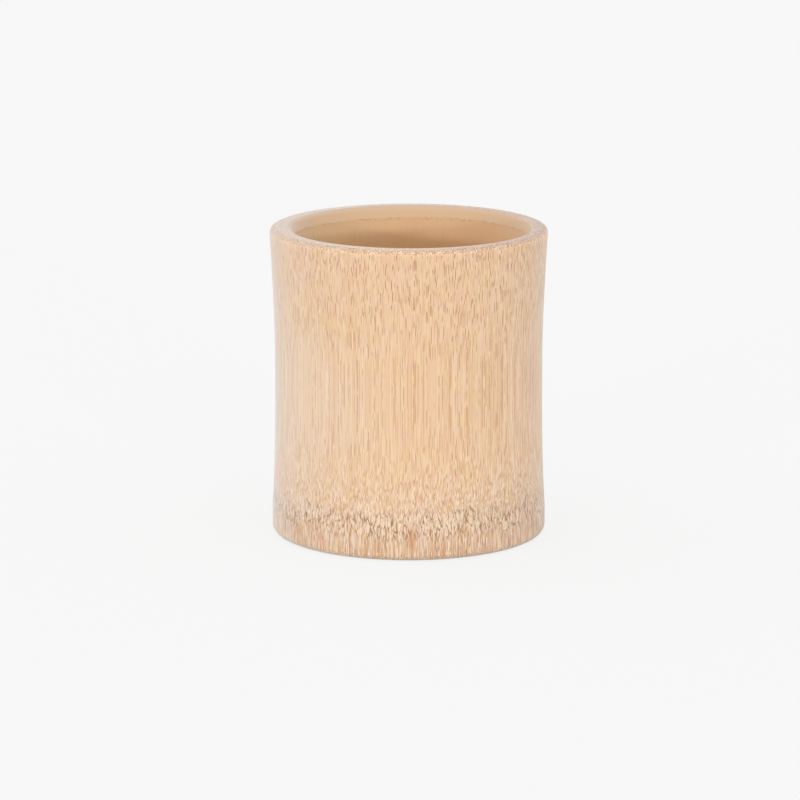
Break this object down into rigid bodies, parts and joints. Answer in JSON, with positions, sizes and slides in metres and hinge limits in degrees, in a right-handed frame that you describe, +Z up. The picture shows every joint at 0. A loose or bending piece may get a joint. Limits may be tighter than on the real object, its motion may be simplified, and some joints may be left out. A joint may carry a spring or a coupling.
{
  "type": "bamboo cup",
  "caption": "Waisted drinking cup turned from natural bamboo, with a rounded lip, a pale lined bore and a raised natural node as its floor.",
  "frame": {"origin": "centre of the outline on the surface that the foot stands on", "axes": "+Z up along the turned axis, from the foot to the lip; the bore lies off the turned axis towards +X"},
  "size_m": [0.0798, 0.0798, 0.089],
  "materials": {
    "turned_bamboo": "turned and fine sanded bamboo with a thin clear satin coat",
    "pith_lining": "natural smooth pith lining, satin",
    "node_wood": "natural node diaphragm, matt"
  },
  "bodies": {
    "root": {"culm_wall": "turned_bamboo", "inner_skin": "pith_lining", "node_diaphragm": "node_wood", "foot_skin": "pith_lining"}
  },
  "joints": []
}
